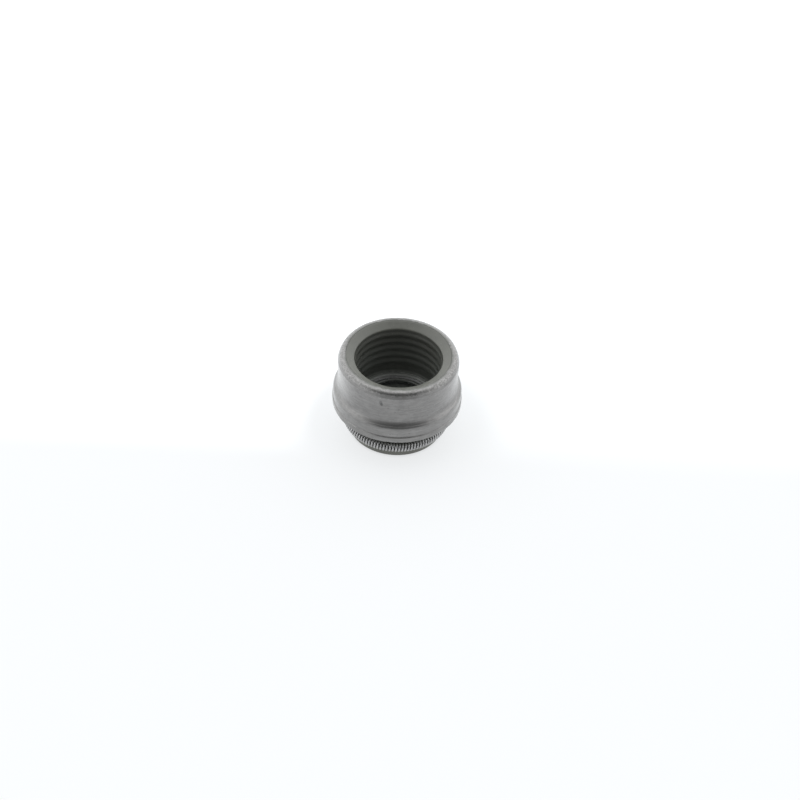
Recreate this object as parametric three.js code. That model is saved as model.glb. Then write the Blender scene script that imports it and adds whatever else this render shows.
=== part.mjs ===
// Valve stem seal: a drawn steel case, the rubber body bonded inside it and a garter spring round its lip.
// Millimetres, +Z up. It stands on its lip end with the guide opening at the top.
// The origin is the centre of the base, on the axis that all three pieces share.
import * as THREE from "three";

// What the seal fits
const stemDiameter = 8;
const guideDiameter = 11;
const lipSqueeze = 0.4; // on the diameter, lip against stem
const ribSqueeze = 0.3; // on the diameter, ribs against guide

// Steel case
const caseTop = 11.7;
const caseBottom = 4.31;
const sheet = 0.5;
const wallRadius = 7.57;
const rimTaper = THREE.MathUtils.degToRad(22);
const rimTaperDepth = 0.8;
const rimBendInside = 0.1;
const rimWidth = 0.95; // from the wall in to the opening's edge
const rimOpeningRadius = wallRadius - rimWidth;
const waistDraw = 0.07; // how far the waist is drawn in from the wall
const waistRadius = wallRadius - waistDraw;
const flareTop = 7.75;
const flareBend = 1.5;
const skirtFlare = 0.62; // how far the skirt stands out from the waist
const skirtBendInside = 0.25;
const skirtRadius = waistRadius + skirtFlare;
const footStep = 0.08; // how far the trimmed edge stands proud of the skirt
const footHeight = 0.74;
const grooveDepth = 0.06;
const grooveHeight = 0.15;
const footChamfer = 0.05;

// Guide end of the rubber body
const bond = 0.03; // adhesive between steel and rubber
const ribCount = 5;
const ribRise = 0.14;
const ribWidth = 0.6;
const ribCrest = 0.2;
const crestRadius = (guideDiameter - ribSqueeze) / 2;
const boreRadius = crestRadius + ribRise;
const guideMouthRadius = boreRadius + 0.17; // the lead-in cone's small end
const guideMouthDrop = 0.49;
const guideMouthFillet = 0.25;
const stopHeight = 3.9;
const topRib = caseTop - 1.5; // centre of the highest rib
const lowestRib = stopHeight + 1.9; // centre of the lowest rib
const reliefDepth = 0.05;
const reliefHeight = 0.5;
const stopBeadRadius = 0.3;
const stopGrooveDepth = 0.35;

// Lip end of the rubber body
const stemRadius = stemDiameter / 2;
const gasLipHeight = 0.3;
const gasLipClearance = 0.05; // the small lip clears the stem where the main lip grips it
const gasLipThickness = 0.35;
const chamberRadius = stemRadius + 0.4; // the hollow between the two lips
const chamberTop = stopHeight - 0.85;
const chamberBottom = stopHeight - 1.2;
const lipHeight = 1.85;
const lipMouthRadius = stemRadius + 1; // the main lip opens towards the base
const neckRadius = stemRadius + 1.75;
const neckFillet = 0.7;
const collarHeight = 2.75;
const undersideHeight = caseBottom - 0.09; // where the rubber leaves the case's wall
const undersideSlope = THREE.MathUtils.degToRad(28);
const baseRadius = neckRadius + 0.28;
const baseFillet = 0.1;

// Garter spring
const coilDiameter = 1.244;
const wireDiameter = 0.3;
const springTurns = 106;
const springSeat = 0.04; // clearance between coil and groove
const springSink = 0.127; // how far the coil reaches in past the neck's surface
const springRingRadius = neckRadius + coilDiameter / 2 - springSink; // to the coil's centre
const springHeight = 1.71;

// Fineness of the round surfaces
const turnSegments = 40;
const bendSteps = 3;
const wireStepsPerTurn = 8;
const wireSides = 4;

const steel = new THREE.MeshStandardMaterial({
  color: 0x9c9c9e,
  metalness: 0.9,
  roughness: 0.42,
});
const rubber = new THREE.MeshStandardMaterial({
  color: 0x474a43,
  metalness: 0,
  roughness: 0.6,
});
const springSteel = new THREE.MeshStandardMaterial({
  color: 0xa8a8a8,
  metalness: 1,
  roughness: 0.3,
});

const point = (radius, height) => new THREE.Vector2(radius, height);

// Points along an arc about (radius, height), from one angle to another in degrees
function arc(radius, height, bend, from, to, steps = bendSteps) {
  return Array.from({ length: steps + 1 }, (_, i) => {
    const angle = THREE.MathUtils.degToRad(from + ((to - from) * i) / steps);
    return point(radius + bend * Math.cos(angle), height + bend * Math.sin(angle));
  });
}

// A closed profile turned about +Z, its points given down the outside and up the bore
function turned(name, profile, material) {
  const outline = [...profile, profile[0]].reverse();
  const geometry = new THREE.LatheGeometry(outline, turnSegments);
  geometry.rotateX(Math.PI / 2);
  const mesh = new THREE.Mesh(geometry, material);
  mesh.name = name;
  return mesh;
}

// The case's outer surface from rim to skirt, moved inwards through the sheet by depth
function caseSurface(depth) {
  const rimBend = rimBendInside + sheet;
  const rimDrop = rimTaperDepth - rimBend;
  const rimCentre =
    wallRadius - (rimBend + Math.sin(rimTaper) * rimDrop) / Math.cos(rimTaper);
  const skirtBend = skirtBendInside + sheet;
  const bends = flareBend + skirtBend;
  const turn = Math.acos(1 - (skirtRadius - waistRadius) / bends);
  const turnDegrees = THREE.MathUtils.radToDeg(turn);
  const flareBottom = flareTop - bends * Math.sin(turn);
  return [
    ...arc(
      rimCentre,
      caseTop - rimBend,
      rimBend - depth,
      90,
      THREE.MathUtils.radToDeg(rimTaper),
    ),
    point(wallRadius - depth, caseTop - rimTaperDepth - depth * Math.tan(rimTaper / 2)),
    ...arc(waistRadius + flareBend, flareTop, flareBend + depth, 180, 180 + turnDegrees),
    ...arc(skirtRadius - skirtBend, flareBottom, skirtBend - depth, turnDegrees, 0),
  ];
}

// One cup drawn from sheet, with a lip turned in at the rim and its trimmed edge standing out at the foot
function steelCase() {
  const footRadius = skirtRadius + footStep;
  const footTop = caseBottom + footHeight;
  const inside = caseSurface(sheet).reverse();
  const profile = [
    point(rimOpeningRadius, caseTop),
    ...caseSurface(0),
    point(skirtRadius, footTop + grooveHeight),
    point(skirtRadius - grooveDepth, footTop + grooveHeight / 2),
    point(footRadius, footTop),
    point(footRadius, caseBottom + footChamfer),
    point(footRadius - footChamfer, caseBottom),
    point(skirtRadius - sheet, caseBottom),
    ...inside,
    point(rimOpeningRadius, caseTop - sheet),
  ];
  return turned("steel_case", profile, steel);
}

// Rounded grip ribs inside the guide bore, from the lowest to the highest
function gripRibs() {
  const ribPitch = (topRib - lowestRib) / (ribCount - 1);
  return Array.from({ length: ribCount }, (_, i) => {
    const centre = lowestRib + i * ribPitch;
    return [
      point(boreRadius, centre - ribWidth / 2),
      point(crestRadius, centre - ribCrest / 2),
      point(crestRadius, centre + ribCrest / 2),
      point(boreRadius, centre + ribWidth / 2),
    ];
  }).flat();
}

// The mouth of the guide bore: a shallow cone that leads the guide in, rounded into the bore
function guideMouth() {
  const height = caseTop - guideMouthDrop;
  const slope = Math.atan2(guideMouthDrop, rimOpeningRadius - bond - guideMouthRadius);
  return arc(
    boreRadius + guideMouthFillet,
    height - guideMouthFillet,
    guideMouthFillet,
    180,
    90 + THREE.MathUtils.radToDeg(slope),
  );
}

// The stop for the guide's end, the small gas lip and the main lip that grips the stem, from bottom to top
function lipsAndStop() {
  const gasLipRadius = stemRadius - gasLipClearance;
  const gasLipEdge = gasLipRadius + gasLipThickness;
  const stopWall = boreRadius - reliefDepth;
  const bead = stopWall - stopBeadRadius;
  const grooveRadius = (gasLipEdge + bead - stopBeadRadius) / 2;
  return [
    point(lipMouthRadius, 0),
    point(stemRadius - lipSqueeze / 2, lipHeight),
    point(chamberRadius, chamberBottom),
    point(chamberRadius, chamberTop),
    point(gasLipRadius, stopHeight - gasLipHeight),
    point(gasLipRadius, stopHeight - gasLipHeight / 3),
    point(gasLipRadius + gasLipThickness / 3, stopHeight),
    point(gasLipEdge, stopHeight - stopGrooveDepth / 6),
    point(grooveRadius, stopHeight - stopGrooveDepth),
    ...arc(bead, stopHeight - stopBeadRadius, stopBeadRadius, 160, 60),
    point(stopWall, stopHeight - stopBeadRadius / 4),
    point(stopWall, stopHeight + reliefHeight),
    point(boreRadius, stopHeight + 2 * reliefHeight),
  ];
}

// The half-round groove that holds the spring, between the collar above it and the base flange below
function springGroove() {
  const bend = coilDiameter / 2 + springSeat;
  return [
    point(neckRadius, collarHeight),
    ...arc(springRingRadius, springHeight, bend, 120, 240, 2 * bendSteps),
  ];
}

// The neck that carries the lip, from the case's mouth down to the base flange
function neckAndBase() {
  const outerRadius = skirtRadius - sheet - bond;
  const filletEdge = neckRadius + neckFillet * (1 - Math.sin(undersideSlope));
  const filletHeight =
    undersideHeight -
    (outerRadius - filletEdge) * Math.tan(undersideSlope) -
    neckFillet * Math.cos(undersideSlope);
  const slopeAngle = 90 + THREE.MathUtils.radToDeg(undersideSlope);
  return [
    point(outerRadius, undersideHeight),
    ...arc(neckRadius + neckFillet, filletHeight, neckFillet, slopeAngle, 180),
    ...springGroove(),
    ...arc(baseRadius - baseFillet, springHeight - coilDiameter / 2 - baseFillet, baseFillet, 90, 0, 2),
    ...arc(baseRadius - baseFillet, baseFillet, baseFillet, 0, -90, 2),
  ];
}

// One moulding bonded inside the case
function rubberBody() {
  const lipRadius = rimOpeningRadius - bond;
  const profile = [
    point(lipRadius, caseTop),
    point(lipRadius, caseTop - sheet - bond),
    ...caseSurface(sheet + bond),
    ...neckAndBase(),
    ...lipsAndStop(),
    ...gripRibs(),
    ...guideMouth(),
  ];
  return turned("rubber_body", profile, rubber);
}

// One wire coiled and joined end to end into a ring
function garterSpring() {
  const coilRadius = (coilDiameter - wireDiameter) / 2;
  const steps = springTurns * wireStepsPerTurn;
  const positions = [];
  const along = new THREE.Vector3();
  const outward = new THREE.Vector3();
  const across = new THREE.Vector3();
  for (let i = 0; i < steps; i++) {
    const around = (2 * Math.PI * i) / steps;
    const coil = springTurns * around;
    const radius = springRingRadius + coilRadius * Math.cos(coil);
    const [c, s] = [Math.cos(around), Math.sin(around)];
    const centre = new THREE.Vector3(
      radius * c,
      radius * s,
      springHeight + coilRadius * Math.sin(coil),
    );
    const sweep = coilRadius * springTurns;
    along.set(
      -sweep * Math.sin(coil) * c - radius * s,
      -sweep * Math.sin(coil) * s + radius * c,
      sweep * Math.cos(coil),
    );
    outward.set(Math.cos(coil) * c, Math.cos(coil) * s, Math.sin(coil));
    across.crossVectors(along, outward).normalize();
    for (let side = 0; side < wireSides; side++) {
      const angle = (2 * Math.PI * side) / wireSides;
      const corner = centre
        .clone()
        .addScaledVector(outward, (wireDiameter / 2) * Math.cos(angle))
        .addScaledVector(across, (wireDiameter / 2) * Math.sin(angle));
      positions.push(corner.x, corner.y, corner.z);
    }
  }
  const geometry = new THREE.BufferGeometry();
  geometry.setAttribute("position", new THREE.Float32BufferAttribute(positions, 3));
  geometry.setIndex(ringFaces(steps, wireSides));
  geometry.computeVertexNormals();
  const mesh = new THREE.Mesh(geometry, springSteel);
  mesh.name = "garter_spring";
  return mesh;
}

// Triangles between each ring of corners and the next, closed round both ways
function ringFaces(rings, sides) {
  const faces = [];
  for (let i = 0; i < rings; i++) {
    const next = (i + 1) % rings;
    for (let j = 0; j < sides; j++) {
      const beside = (j + 1) % sides;
      const [a, b] = [i * sides + j, next * sides + j];
      const [c, d] = [next * sides + beside, i * sides + beside];
      faces.push(a, c, b, a, d, c);
    }
  }
  return faces;
}

const seal = new THREE.Group();
seal.add(steelCase(), rubberBody(), garterSpring());
export default seal;
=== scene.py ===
"""Valve stem seal: fine pieces, materials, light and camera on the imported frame.

Sizes and places are in millimetres, and become metres where a mesh or a camera is made.
"""

import math

import bpy
import numpy as np
from mathutils import Matrix, Vector


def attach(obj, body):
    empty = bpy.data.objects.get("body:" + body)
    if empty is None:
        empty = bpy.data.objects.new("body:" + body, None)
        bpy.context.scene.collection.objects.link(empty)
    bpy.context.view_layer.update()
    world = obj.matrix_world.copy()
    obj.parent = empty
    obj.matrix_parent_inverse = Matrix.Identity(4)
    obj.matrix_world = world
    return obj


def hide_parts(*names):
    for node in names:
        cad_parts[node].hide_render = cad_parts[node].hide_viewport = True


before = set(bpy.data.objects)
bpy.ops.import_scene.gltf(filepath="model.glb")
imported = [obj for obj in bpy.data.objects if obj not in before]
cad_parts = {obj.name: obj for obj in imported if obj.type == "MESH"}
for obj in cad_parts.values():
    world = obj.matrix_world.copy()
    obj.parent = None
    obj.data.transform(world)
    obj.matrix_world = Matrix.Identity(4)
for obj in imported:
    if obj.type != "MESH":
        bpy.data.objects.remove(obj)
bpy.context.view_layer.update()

MM = 0.001

# Sizes shared with the CAD source
STEM, GUIDE = 8.0, 11.0
LIP_SQUEEZE, RIB_SQUEEZE = 0.4, 0.3
CASE_TOP, CASE_BOTTOM, SHEET = 11.7, 4.31, 0.5
WALL_R, WAIST_DRAW, SKIRT_FLARE = 7.57, 0.07, 0.62
WAIST_R = WALL_R - WAIST_DRAW
SKIRT_R = WAIST_R + SKIRT_FLARE
RIM_TAPER, RIM_TAPER_DEPTH, RIM_BEND = math.radians(22), 0.8, 0.1 + SHEET
RIM_OPENING_R = WALL_R - 0.95
FLARE_TOP, FLARE_BEND, SKIRT_BEND = 7.75, 1.5, 0.25 + SHEET
FOOT_STEP, FOOT_HEIGHT, GROOVE_DEPTH, GROOVE_HEIGHT = 0.08, 0.74, 0.06, 0.15
BOND = 0.03
RIBS, RIB_RISE = 5, 0.14
BORE_R = (GUIDE - RIB_SQUEEZE) / 2 + RIB_RISE
MOUTH_R, MOUTH_DROP, MOUTH_FILLET = BORE_R + 0.17, 0.49, 0.25
STOP_H, RELIEF, RELIEF_H = 3.9, 0.05, 0.5
LOWEST_RIB, TOP_RIB = STOP_H + 1.9, CASE_TOP - 1.5
BEAD, STOP_GROOVE = 0.3, 0.35
GAS_LIP_H, GAS_LIP_CLEAR, GAS_LIP_T = 0.3, 0.05, 0.35
CHAMBER_R, CHAMBER_TOP, CHAMBER_BOTTOM = STEM / 2 + 0.4, STOP_H - 0.85, STOP_H - 1.2
LIP_H, LIP_MOUTH_R = 1.85, STEM / 2 + 1
NECK_R, NECK_FILLET, COLLAR_H = STEM / 2 + 1.75, 0.7, 2.75
BASE_R = NECK_R + 0.28
UNDERSIDE_H, UNDERSIDE_SLOPE = CASE_BOTTOM - 0.09, math.radians(28)
COIL, WIRE, TURNS, SEAT = 1.244, 0.3, 106, 0.04
SPRING_R, SPRING_H = NECK_R + COIL / 2 - 0.127, 1.71

# Small roundings, given as the reach of each bend along its sides
EDGE_EASE, INNER_EDGE_EASE, OPENING_EASE = 0.05, 0.04, 0.03
LIP_EASE, TIP_EASE, GAS_TOP_EASE, CHAMBER_EASE = 0.06, 0.05, 0.08, 0.12
STOP_EASE, BASE_TOP_EASE, BASE_EASE = 0.1, 0.1, 0.12
RUBBER_SINK = 0.02  # how far the rubber lies under the case's top at the opening

# Fineness of the meshes
BEND_STEPS, FINE_STEPS, COIL_SEAT_STEPS, RIB_POINTS = 14, 12, 28, 15
CASE_SEGMENTS, CASE_STEP = 384, 0.12
RUBBER_SEGMENTS, RUBBER_STEP = 300, 0.2
WIRE_STEPS, WIRE_SIDES = 24, 10

# Unevenness
EDGE_WEAR_H, EDGE_WEAR_IN, EDGE_WEAR_UP = 0.25, 0.02, 0.03
TURN_DRIFT = 0.03  # how unevenly the spring's turns are spaced, against their even spacing

# Dark marks on the case: degrees from the front, height, radius, size, flatness and depth of tone
MARKS = [
    (-14.8, 10.1, WALL_R, 0.28, 0.6, 0.6),
    (-13.9, 9.85, WALL_R, 0.26, 0.7, 0.75),
    (2.4, 9.3, WALL_R, 0.16, 1, 0.35),
    (-7.6, 9.35, WALL_R, 0.15, 1, 0.35),
    (-1, 8.8, WALL_R, 0.15, 1, 0.35),
    (12.3, 5.75, SKIRT_R, 0.16, 1.4, 0.5),
    (-4.4, 5.6, SKIRT_R, 0.15, 1.3, 0.45),
    (1.8, 5.6, SKIRT_R, 0.12, 1, 0.35),
]

# Light: brightness of the tent and the table, and where the tent is dim
TENT, WINDOW = 1.6, 0.16
WINDOW_HEADING, WINDOW_HEIGHT = 4, 35  # degrees from the front and above the horizon
WINDOW_EDGE, WINDOW_CORE = 0.35, 0.92  # cosines of the angle from the window's centre
# TABLE_GLOW_BEHIND is the strength of a painted pool of light on the table behind the seal.
TABLE_GLOW, TABLE_GLOW_BEHIND = 0.76, 0.38
TABLE_HALF = 1500

# The photograph's viewing angle and framing
ELEVATION, ROLL = math.radians(41.25), math.radians(2.66)
AIM_HEIGHT, DISTANCE = 11.213, 207.3
FOCAL, IMAGE_SIDE = 1667.0, 800.0  # pixels
SEAL_X, SEAL_Y = 398.74, 357.09  # where the opening's centre is in the image, pixels
SENSOR = 36


# Profiles, as points (radius, height)


def arc(radius, height, bend, start, end, steps):
    """Points along an arc about (radius, height), between two angles in degrees."""
    angles = np.radians(np.linspace(start, end, steps + 1))
    return [(radius + bend * math.cos(a), height + bend * math.sin(a)) for a in angles]


def eased(corners, steps=5):
    """A line through corners (radius, height, ease), each corner rounded; one without an ease stays sharp."""
    points = []
    for i, corner in enumerate(corners):
        here = np.array(corner[:2])
        if len(corner) == 2:
            points.append(tuple(here))
            continue
        before = np.array(corners[i - 1][:2]) - here
        after = np.array(corners[(i + 1) % len(corners)][:2]) - here
        a, b = np.linalg.norm(before), np.linalg.norm(after)
        half = 0.5 * math.acos(np.clip(np.dot(before, after) / (a * b), -1, 1))
        reach = min(corner[2] / math.tan(half), 0.49 * a, 0.49 * b)
        start, end = here + before * (reach / a), here + after * (reach / b)
        for t in np.linspace(0, 1, steps + 1):
            points.append(tuple((1 - t) ** 2 * start + 2 * t * (1 - t) * here + t * t * end))
    return points


def split(points, longest):
    """The same closed line with no step longer than this."""
    out = []
    for i, here in enumerate(points):
        there = points[(i + 1) % len(points)]
        count = max(1, math.ceil(math.dist(here, there) / longest))
        for k in range(count):
            t = k / count
            out.append((here[0] + (there[0] - here[0]) * t, here[1] + (there[1] - here[1]) * t))
    return out


def case_surface(depth):
    """The case's outer surface from rim to skirt, moved inwards through the sheet by depth."""
    drop = RIM_TAPER_DEPTH - RIM_BEND
    centre = WALL_R - (RIM_BEND + math.sin(RIM_TAPER) * drop) / math.cos(RIM_TAPER)
    bends = FLARE_BEND + SKIRT_BEND
    turn = math.acos(1 - (SKIRT_R - WAIST_R) / bends)
    flare_bottom = FLARE_TOP - bends * math.sin(turn)
    flare_end = 180 + math.degrees(turn)
    return [
        *arc(centre, CASE_TOP - RIM_BEND, RIM_BEND - depth, 90, math.degrees(RIM_TAPER), BEND_STEPS),
        (WALL_R - depth, CASE_TOP - RIM_TAPER_DEPTH - depth * math.tan(RIM_TAPER / 2)),
        *arc(WAIST_R + FLARE_BEND, FLARE_TOP, FLARE_BEND + depth, 180, flare_end, BEND_STEPS),
        *arc(SKIRT_R - SKIRT_BEND, flare_bottom, SKIRT_BEND - depth, flare_end - 180, 0, BEND_STEPS),
    ]


def case_profile():
    """The drawn case: down its outside, round the foot and up its inside."""
    foot_r = SKIRT_R + FOOT_STEP
    foot_top = CASE_BOTTOM + FOOT_HEIGHT
    foot = eased(
        [
            (SKIRT_R, foot_top + 4 * GROOVE_HEIGHT),
            (SKIRT_R, foot_top + GROOVE_HEIGHT, EDGE_EASE),
            (SKIRT_R - GROOVE_DEPTH, foot_top + GROOVE_HEIGHT / 2, EDGE_EASE),
            (foot_r, foot_top, EDGE_EASE),
            (foot_r, CASE_BOTTOM, EDGE_EASE),
            (SKIRT_R - SHEET, CASE_BOTTOM, INNER_EDGE_EASE),
            (SKIRT_R - SHEET, CASE_BOTTOM + 1),
        ]
    )
    opening = eased(
        [
            (RIM_OPENING_R + OPENING_EASE, CASE_TOP - SHEET),
            (RIM_OPENING_R, CASE_TOP - SHEET, OPENING_EASE),
            (RIM_OPENING_R, CASE_TOP, OPENING_EASE),
            (RIM_OPENING_R + OPENING_EASE, CASE_TOP),
        ]
    )
    return [*opening[1:-1], *case_surface(0)[1:], *foot[1:-1], *case_surface(SHEET)[::-1]]


def grip_ribs():
    """Rounded ribs of the guide bore, from the lowest to the highest."""
    pitch = (TOP_RIB - LOWEST_RIB) / (RIBS - 1)
    points = []
    for i in range(RIBS):
        for t in np.linspace(-1, 1, RIB_POINTS):
            rise = 0.5 + 0.5 * math.cos(math.pi * t)
            points.append((BORE_R - RIB_RISE * rise, LOWEST_RIB + (i + 0.49 * t) * pitch))
    return points


def guide_mouth():
    """The bend from the bore into the lead-in cone."""
    height = CASE_TOP - MOUTH_DROP
    slope = math.degrees(math.atan2(MOUTH_DROP, RIM_OPENING_R - BOND - MOUTH_R))
    return arc(BORE_R + MOUTH_FILLET, height - MOUTH_FILLET, MOUTH_FILLET, 180, 90 + slope, FINE_STEPS)


def lips_and_stop():
    """The main lip, the small gas lip and the stop for the guide's end, from bottom to top."""
    stem = STEM / 2
    gas = stem - GAS_LIP_CLEAR
    edge = gas + GAS_LIP_T
    stop_wall = BORE_R - RELIEF
    bead = stop_wall - BEAD
    groove_r = (edge + bead - BEAD) / 2
    crown = arc(bead, STOP_H - BEAD, BEAD, 160, 60, FINE_STEPS)
    low = eased(
        [
            (LIP_MOUTH_R + 0.5, 0),
            (LIP_MOUTH_R, 0, LIP_EASE),
            (stem - LIP_SQUEEZE / 2, LIP_H, TIP_EASE),
            (CHAMBER_R, CHAMBER_BOTTOM, CHAMBER_EASE),
            (CHAMBER_R, CHAMBER_TOP, CHAMBER_EASE),
            (gas, STOP_H - GAS_LIP_H, LIP_EASE),
            (gas, STOP_H - GAS_LIP_H / 3, GAS_TOP_EASE),
            (gas + GAS_LIP_T / 3, STOP_H, GAS_TOP_EASE),
            (edge, STOP_H - STOP_GROOVE / 6, CHAMBER_EASE),
            (groove_r, STOP_H - STOP_GROOVE, CHAMBER_EASE),
            crown[0],
        ]
    )
    high = eased(
        [
            crown[-1],
            (stop_wall, STOP_H - BEAD / 4, EDGE_EASE),
            (stop_wall, STOP_H + RELIEF_H, STOP_EASE),
            (BORE_R, STOP_H + 2 * RELIEF_H, STOP_EASE),
            (BORE_R, STOP_H + 2 * RELIEF_H + STOP_EASE),
        ]
    )
    return [*low[1:-1], *crown, *high[1:-1]]


def neck_and_base():
    """The neck below the case, the spring's groove and the base flange, from top to bottom."""
    outer = SKIRT_R - SHEET - BOND
    fillet_edge = NECK_R + NECK_FILLET * (1 - math.sin(UNDERSIDE_SLOPE))
    cone_drop = (outer - fillet_edge) * math.tan(UNDERSIDE_SLOPE)
    fillet_h = UNDERSIDE_H - cone_drop - NECK_FILLET * math.cos(UNDERSIDE_SLOPE)
    fillet_start = 90 + math.degrees(UNDERSIDE_SLOPE)
    seat = COIL / 2 + SEAT
    seat_top = arc(SPRING_R, SPRING_H, seat, 120, 130, 1)
    collar = eased([(NECK_R, COLLAR_H + 0.2), (NECK_R, COLLAR_H, EDGE_EASE), *seat_top])
    flange_top, flange_inner = SPRING_H - COIL / 2, BASE_R - 0.3
    base = eased(
        [
            arc(SPRING_R, SPRING_H, seat, 238, 240, 1)[1],
            (flange_inner, flange_top, EDGE_EASE),
            (BASE_R, flange_top, BASE_TOP_EASE),
            (BASE_R, 0, BASE_EASE),
            (flange_inner, 0),
        ]
    )
    return [
        (outer, UNDERSIDE_H),
        *arc(NECK_R + NECK_FILLET, fillet_h, NECK_FILLET, fillet_start, 180, BEND_STEPS),
        *collar[1:-2],
        *arc(SPRING_R, SPRING_H, seat, 122, 238, COIL_SEAT_STEPS),
        *base[1:-1],
    ]


def rubber_profile():
    """The moulding: under the rim, down against the case, round the base and up the bore."""
    lip = RIM_OPENING_R - BOND
    return [
        (lip, CASE_TOP - RUBBER_SINK),
        (lip, CASE_TOP - SHEET - BOND),
        *case_surface(SHEET + BOND),
        *neck_and_base(),
        *lips_and_stop(),
        *grip_ribs(),
        *guide_mouth(),
        (lip - EDGE_EASE, CASE_TOP - RUBBER_SINK),
    ]


# Meshes


def mesh_of(name, verts, faces, node):
    """A smooth piece that stands for a node of the frame; its vertices are given in millimetres."""
    mesh = bpy.data.meshes.new(name)
    mesh.from_pydata((verts.reshape(-1, 3) * MM).tolist(), [], faces.tolist())
    mesh.shade_smooth()
    mesh.validate()
    obj = bpy.data.objects.new(name, mesh)
    bpy.context.scene.collection.objects.link(obj)
    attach(obj, "root")
    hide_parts(node)
    return obj


def grid_faces(rows, columns):
    """Quads of a grid that closes on itself both ways."""
    i, j = np.meshgrid(np.arange(rows), np.arange(columns), indexing="ij")
    down, right = (i + 1) % rows, (j + 1) % columns
    corners = [i * columns + j, down * columns + j, down * columns + right, i * columns + right]
    return np.stack(corners, -1).reshape(-1, 4)


def turned(name, profile, segments, node, shift=None):
    """The closed profile turned about +Z. shift(radius, height, angle) gives small moves of the surface."""
    line = np.array(profile)
    angle = np.linspace(0, 2 * math.pi, segments, endpoint=False)
    radius = np.repeat(line[:, :1], segments, 1)
    height = np.repeat(line[:, 1:], segments, 1)
    around = np.repeat(angle[None, :], len(line), 0)
    if shift:
        radius_move, height_move = shift(radius, height, around)
        radius, height = radius + radius_move, height + height_move
    verts = np.stack([radius * np.cos(around), radius * np.sin(around), height], -1)
    return mesh_of(name, verts, grid_faces(len(line), segments), node)


def waves(angle, low, high, count):
    """A smooth random curve round the ring, mostly between -1 and 1."""
    total = np.zeros_like(angle)
    for turns in rng.integers(low, high, count):
        total += rng.normal() * np.cos(turns * angle + rng.uniform(0, 2 * math.pi))
    return total / math.sqrt(count)


def case_wear(radius, height, angle):
    """The trimmed edge at the foot is a little rough."""
    low = np.clip((CASE_BOTTOM + EDGE_WEAR_H - height) / EDGE_WEAR_H, 0, 1)
    rough = low * (radius > SKIRT_R - SHEET / 2) * np.abs(waves(angle, 20, 150, 24))
    return -EDGE_WEAR_IN * rough, EDGE_WEAR_UP * rough


def spring_coil():
    """The garter spring: one round wire coiled into a closed ring."""
    total = TURNS * WIRE_STEPS
    around = np.linspace(0, 2 * math.pi, total, endpoint=False)
    place = around + TURN_DRIFT * waves(around, 3, 40, 12) / TURNS
    coil = TURNS * around
    reach = (COIL - WIRE) / 2
    radius = SPRING_R + reach * np.cos(coil)
    centre = np.stack([radius * np.cos(place), radius * np.sin(place), SPRING_H + reach * np.sin(coil)], -1)
    along = np.roll(centre, -1, 0) - np.roll(centre, 1, 0)
    outward = np.stack([np.cos(coil) * np.cos(place), np.cos(coil) * np.sin(place), np.sin(coil)], -1)
    across = np.cross(along, outward)
    across /= np.linalg.norm(across, axis=1, keepdims=True)
    side = np.linspace(0, 2 * math.pi, WIRE_SIDES, endpoint=False)[None, :, None]
    section = outward[:, None] * np.cos(side) + across[:, None] * np.sin(side)
    faces = grid_faces(total, WIRE_SIDES)[:, ::-1]
    return mesh_of("spring_coil", centre[:, None] + WIRE / 2 * section, faces, "garter_spring")


# Materials


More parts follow.
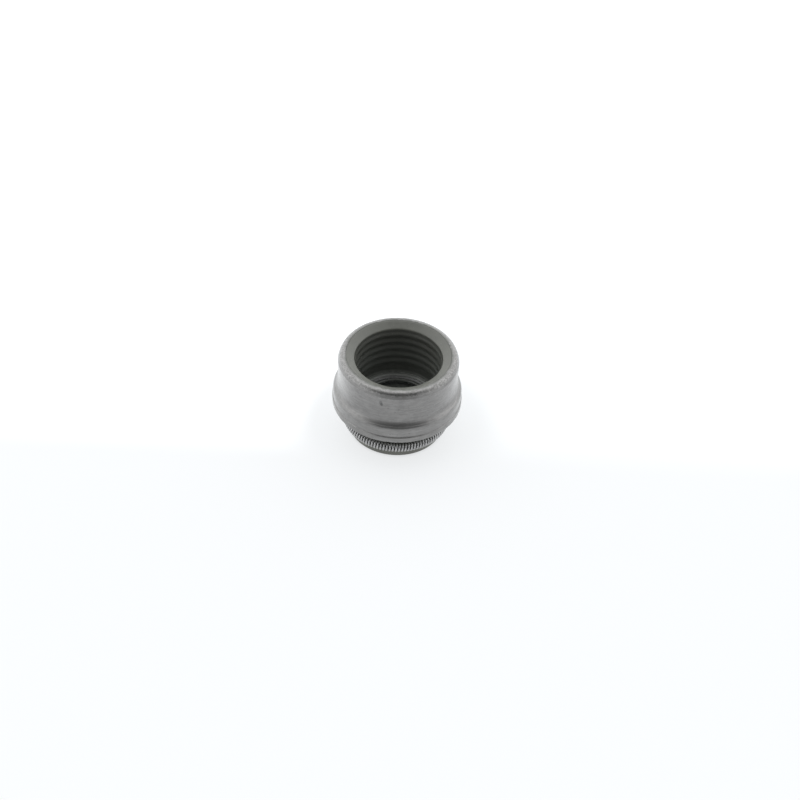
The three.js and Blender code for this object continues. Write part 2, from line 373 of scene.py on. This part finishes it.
class Nodes:
    """Short calls for building a material's nodes. Places are the object's coordinates in millimetres."""

    def __init__(self, name):
        self.material = bpy.data.materials.new(name)
        self.material.use_nodes = True
        self.tree = self.material.node_tree
        self.shader = self.tree.nodes["Principled BSDF"]
        scale = self.tree.nodes.new("ShaderNodeVectorMath")
        scale.operation = "SCALE"
        scale.inputs["Scale"].default_value = 1 / MM
        self.link(self.tree.nodes.new("ShaderNodeTexCoord").outputs["Object"], scale.inputs[0])
        self.place = scale.outputs[0]
        parts = self.tree.nodes.new("ShaderNodeSeparateXYZ")
        self.link(self.place, parts.inputs[0])
        self.x, self.y, self.z = parts.outputs
        squares = self.math("ADD", self.math("MULTIPLY", self.x, self.x), self.math("MULTIPLY", self.y, self.y))
        self.r = self.math("SQRT", squares)

    def link(self, source, target):
        self.tree.links.new(source, target)

    def put(self, socket, value):
        if isinstance(value, bpy.types.NodeSocket):
            self.link(value, socket)
        else:
            socket.default_value = value

    def math(self, operation, *values, clamp=False):
        node = self.tree.nodes.new("ShaderNodeMath")
        node.operation, node.use_clamp = operation, clamp
        for socket, value in zip(node.inputs, values):
            self.put(socket, value)
        return node.outputs[0]

    def both(self, *masks):
        """The product of masks."""
        product = masks[0]
        for mask in masks[1:]:
            product = self.math("MULTIPLY", product, mask)
        return product

    def scaled(self, factors, offset=(0, 0, 0)):
        """The place, multiplied along each axis and moved."""
        node = self.tree.nodes.new("ShaderNodeVectorMath")
        node.operation = "MULTIPLY_ADD"
        self.link(self.place, node.inputs[0])
        node.inputs[1].default_value, node.inputs[2].default_value = factors, offset
        return node.outputs[0]

    def noise(self, factors, detail=3.0, roughness=0.55, offset=(0, 0, 0)):
        """Noise with this many features a millimetre, one number or one for each axis."""
        if not isinstance(factors, tuple):
            factors = (factors, factors, factors)
        node = self.tree.nodes.new("ShaderNodeTexNoise")
        self.link(self.scaled(factors, offset), node.inputs["Vector"])
        node.inputs["Scale"].default_value = 1
        node.inputs["Detail"].default_value = detail
        node.inputs["Roughness"].default_value = roughness
        return node.outputs["Fac"]

    def ramp(self, value, low, high, start=0.0, end=1.0):
        """value from low to high becomes start to end, held outside."""
        node = self.tree.nodes.new("ShaderNodeMapRange")
        node.interpolation_type = "SMOOTHSTEP"
        self.link(value, node.inputs["Value"])
        for name, number in zip(("From Min", "From Max", "To Min", "To Max"), (low, high, start, end)):
            node.inputs[name].default_value = number
        return node.outputs[0]

    def spot(self, centre, size, flatness):
        """1 inside a spot about centre, fading out at its size; flatness above 1 makes it lower than wide."""
        node = self.tree.nodes.new("ShaderNodeVectorMath")
        node.operation = "LENGTH"
        stretch = (1, 1, flatness)
        self.link(self.scaled(stretch, [-v * f for v, f in zip(centre, stretch)]), node.inputs[0])
        return self.ramp(node.outputs["Value"], size * 0.35, size, 1, 0)

    def mix(self, factor, a, b):
        """Colour a turning into b by the factor."""
        node = self.tree.nodes.new("ShaderNodeMix")
        node.data_type = "RGBA"
        self.put(node.inputs["Factor"], factor)
        for socket, value in ((node.inputs["A"], a), (node.inputs["B"], b)):
            self.put(socket, (*value, 1) if isinstance(value, tuple) else value)
        return node.outputs["Result"]

    def bump(self, height, distance, strength=1.0, under=None):
        """A normal from a height, whose full range stands for this distance."""
        node = self.tree.nodes.new("ShaderNodeBump")
        node.inputs["Strength"].default_value = strength
        node.inputs["Distance"].default_value = distance * MM
        self.link(height, node.inputs["Height"])
        if under is not None:
            self.link(under, node.inputs["Normal"])
        return node.outputs[0]


def on_case(heading, height, radius):
    """A point on the case at a heading in degrees from the front, positive to the right."""
    angle = math.radians(heading)
    return radius * math.sin(angle), -radius * math.cos(angle), height


def plain_steel(n, streaks, scuffs):
    """Drawn sheet: uneven grey with light streaks round the case and dull scuffs."""
    tone = n.mix(n.ramp(n.noise(0.8, 4, 0.6), 0.3, 0.7), (0.17, 0.167, 0.163), (0.212, 0.209, 0.204))
    tone = n.mix(n.ramp(streaks, 0.35, 0.75, 0, 0.5), tone, (0.29, 0.285, 0.28))
    return n.mix(n.ramp(scuffs, 0.5, 0.7, 0, 0.35), tone, (0.14, 0.14, 0.14))


def worn_rim(n, tone, mottle):
    """Speckled wear on the rim's corner, and a thin worn line where the taper meets the wall."""
    worn = n.both(n.ramp(n.z, 11.1, 11.4), n.ramp(n.r, 6.8, 7.0), 0.75)
    speckle = n.mix(n.ramp(mottle, 0.36, 0.64), (0.14, 0.138, 0.133), (0.3, 0.296, 0.288))
    tone = n.mix(worn, tone, speckle)
    line = n.both(n.ramp(n.z, 10.72, 10.82), n.ramp(n.z, 10.86, 10.98, 1, 0))
    return n.mix(n.both(line, n.ramp(mottle, 0.45, 0.6, 0, 0.4)), tone, (0.34, 0.335, 0.33))


def marked(n, tone, mottle):
    """Fine specks all over, and the larger dark marks."""
    specks = n.noise(5.2, 1, 0.5, (3, 1, 7))
    tone = n.mix(n.ramp(specks, 0.69, 0.76, 0, 0.5), tone, (0.1, 0.1, 0.1))
    for heading, height, radius, size, flatness, depth in MARKS:
        mark = n.spot(on_case(heading, height, radius), size, flatness)
        tone = n.mix(n.both(mark, n.ramp(mottle, 0.3, 0.5, 0.6 * depth, depth)), tone, (0.06, 0.06, 0.06))
    return tone


def rubber_film(n):
    """Where a film of rubber from the moulding covers the steel round the opening."""
    patches = n.noise((1.5, 1.5, 0.3), 4, 0.65, (9, 2, 4))
    return n.both(n.ramp(n.r, 6.74, 6.87, 1, 0), n.ramp(patches, 0.38, 0.5))


def steel_material():
    n = Nodes("drawn_steel")
    streaks = n.noise((0.45, 0.45, 8), 3, 0.6)
    scuffs = n.noise((1.5, 1.5, 5), 4, 0.65, (2, 8, 1))
    mottle = n.noise(4.4, 4, 0.65, (1, 4, 2))
    film = rubber_film(n)
    tone = marked(n, worn_rim(n, plain_steel(n, streaks, scuffs), mottle), mottle)
    n.link(n.mix(film, tone, (0.1, 0.105, 0.09)), n.shader.inputs["Base Color"])
    n.put(n.shader.inputs["Metallic"], n.math("SUBTRACT", 1.0, film, clamp=True))
    n.put(n.shader.inputs["Roughness"], n.ramp(scuffs, 0.3, 0.7, 0.33, 0.46))
    n.shader.inputs["Coat Weight"].default_value = 1
    n.shader.inputs["Coat Roughness"].default_value = 0.25
    n.shader.inputs["Coat IOR"].default_value = 1.5
    relief = n.bump(scuffs, 0.012, 0.6, n.bump(streaks, 0.014, 0.7))
    n.link(n.bump(n.noise(14, 2, 0.6), 0.006, 0.7, relief), n.shader.inputs["Normal"])
    return n.material


def bore_tone_with_painted_light(n, tone):
    """The rubber's tone inside the bore, with painted light: painted shade near the top and painted fill light
    further down, a painted highlight on the stop's bead, and painted shade in the stop's groove.
    """
    bore = n.both(n.ramp(n.z, 10.8, 11.2, 1, 0), n.ramp(n.r, 5.55, 5.7, 1, 0))
    bottom = n.ramp(n.z, 4.1, 4.5, 1, 0)
    # Painted shade near the top, against the top rib's highlight, and painted fill light further down the deep
    # bore.
    tone = n.mix(bore, tone, n.mix(n.ramp(n.z, 6.5, 10), (0.13, 0.137, 0.124), (0.088, 0.091, 0.08)))
    # Painted fill light: paler still below the stop, down in the lip's chamber.
    tone = n.mix(n.both(bore, n.ramp(n.z, 3.2, 3.6, 1, 0)), tone, (0.24, 0.25, 0.235))
    # Painted highlight on the stop's bead.
    tone = n.mix(n.both(bore, bottom, n.ramp(n.r, 4.7, 4.9)), tone, (0.29, 0.3, 0.28))
    # Painted shade in the stop's groove.
    groove = n.both(n.ramp(n.r, 4.3, 4.5), n.ramp(n.r, 4.7, 4.9, 1, 0), bottom)
    return n.mix(groove, tone, (0.04, 0.042, 0.038))


def rubber_material():
    n = Nodes("olive_rubber")
    cloud = n.noise(0.7, 3, 0.5)
    dust = n.noise(7, 1, 0.4, (5, 5, 1))
    tone = bore_tone_with_painted_light(n, n.mix(n.ramp(cloud, 0.3, 0.7), (0.097, 0.1, 0.084), (0.116, 0.119, 0.1)))
    tone = n.mix(n.ramp(dust, 0.7, 0.76, 0, 0.35), tone, (0.3, 0.3, 0.28))
    n.link(tone, n.shader.inputs["Base Color"])
    polish = n.ramp(n.z, 4, 4.6, -0.14, 0)
    n.put(n.shader.inputs["Roughness"], n.math("ADD", n.ramp(cloud, 0.3, 0.7, 0.36, 0.44), polish))
    n.shader.inputs["Specular IOR Level"].default_value = 0.75
    n.link(n.bump(n.noise(9, 3, 0.6), 0.008, 0.5), n.shader.inputs["Normal"])
    return n.material


def wire_material():
    n = Nodes("spring_wire")
    blotches = n.noise(1.8, 3, 0.6)
    tone = n.mix(n.ramp(blotches, 0.3, 0.7), (0.31, 0.31, 0.31), (0.46, 0.46, 0.46))
    n.link(tone, n.shader.inputs["Base Color"])
    n.shader.inputs["Metallic"].default_value = 1
    n.put(n.shader.inputs["Roughness"], n.ramp(blotches, 0.3, 0.7, 0.15, 0.24))
    n.link(n.bump(n.noise(12), 0.003, 0.4), n.shader.inputs["Normal"])
    return n.material


# Floor, light and camera


def floor():
    """A white table that glows, with a painted pool of light behind the seal and to its left, and a painted
    shadow under the seal where it does not glow.
    """
    mesh = bpy.data.meshes.new("floor")
    corners = [(x * TABLE_HALF * MM, y * TABLE_HALF * MM, 0) for x, y in ((-1, -1), (1, -1), (1, 1), (-1, 1))]
    mesh.from_pydata(corners, [], [(0, 1, 2, 3)])
    obj = bpy.data.objects.new("floor", mesh)
    bpy.context.scene.collection.objects.link(obj)
    n = Nodes("white_floor")
    n.shader.inputs["Base Color"].default_value = (0.21, 0.218, 0.225, 1)
    n.shader.inputs["Roughness"].default_value = 0.8
    n.shader.inputs["Specular IOR Level"].default_value = 0
    n.shader.inputs["Emission Color"].default_value = (0.98, 0.992, 1, 1)
    # Painted shadow: no glow under the seal, fading in just outside it.
    around = n.ramp(n.r, 4.5, 6.5, 0, TABLE_GLOW)
    # Painted pool of light: more glow behind the seal and to its left.
    behind = n.both(n.ramp(n.r, 10, 16, 0, TABLE_GLOW_BEHIND), n.ramp(n.y, -8, 3), n.ramp(n.x, -8, 8, 1, 0.35))
    n.put(n.shader.inputs["Emission Strength"], n.math("ADD", around, behind))
    mesh.materials.append(n.material)


def room():
    """A bright white tent all round and above, with a dim opening on the side that the seal faces."""
    world = bpy.data.worlds.new("room")
    world.use_nodes = True
    tree = world.node_tree
    heading, height = math.radians(WINDOW_HEADING), math.radians(WINDOW_HEIGHT)
    toward = (math.sin(heading) * math.cos(height), -math.cos(heading) * math.cos(height), math.sin(height))
    dot = tree.nodes.new("ShaderNodeVectorMath")
    dot.operation = "DOT_PRODUCT"
    tree.links.new(tree.nodes.new("ShaderNodeTexCoord").outputs["Generated"], dot.inputs[0])
    dot.inputs[1].default_value = toward
    strength = tree.nodes.new("ShaderNodeMapRange")
    strength.interpolation_type = "SMOOTHSTEP"
    tree.links.new(dot.outputs["Value"], strength.inputs["Value"])
    levels = {"From Min": WINDOW_EDGE, "From Max": WINDOW_CORE, "To Min": TENT, "To Max": WINDOW}
    for name, number in levels.items():
        strength.inputs[name].default_value = number
    background = tree.nodes["Background"]
    background.inputs["Color"].default_value = (0.98, 0.99, 1, 1)
    tree.links.new(strength.outputs[0], background.inputs["Strength"])
    bpy.context.scene.world = world


def camera():
    """The photograph's camera, turned and framed as it was."""
    aim = Vector((0, 0, AIM_HEIGHT)) * MM
    back = Vector((0, -math.cos(ELEVATION), math.sin(ELEVATION)))
    lens = bpy.data.cameras.new("camera")
    lens.sensor_width = SENSOR
    lens.lens = FOCAL / IMAGE_SIDE * SENSOR
    lens.shift_x = (IMAGE_SIDE / 2 - SEAL_X) / IMAGE_SIDE
    lens.shift_y = (SEAL_Y - IMAGE_SIDE / 2) / IMAGE_SIDE
    lens.clip_start, lens.clip_end = 0.01, 10
    obj = bpy.data.objects.new("camera", lens)
    turn = (-back).to_track_quat("-Z", "Y").to_matrix() @ Matrix.Rotation(ROLL, 3, "Z")
    obj.matrix_world = Matrix.Translation(aim + back * DISTANCE * MM) @ turn.to_4x4()
    bpy.context.scene.collection.objects.link(obj)
    bpy.context.scene.camera = obj


rng = np.random.default_rng(7)
case_line, rubber_line = split(case_profile(), CASE_STEP), split(rubber_profile(), RUBBER_STEP)
case = turned("case_shell", case_line, CASE_SEGMENTS, "steel_case", case_wear)
moulding = turned("rubber_moulding", rubber_line, RUBBER_SEGMENTS, "rubber_body")
spring = spring_coil()
case.data.materials.append(steel_material())
moulding.data.materials.append(rubber_material())
spring.data.materials.append(wire_material())

floor()
room()
camera()
view = bpy.context.scene.view_settings
view.view_transform = "Standard"
view.look = "None"
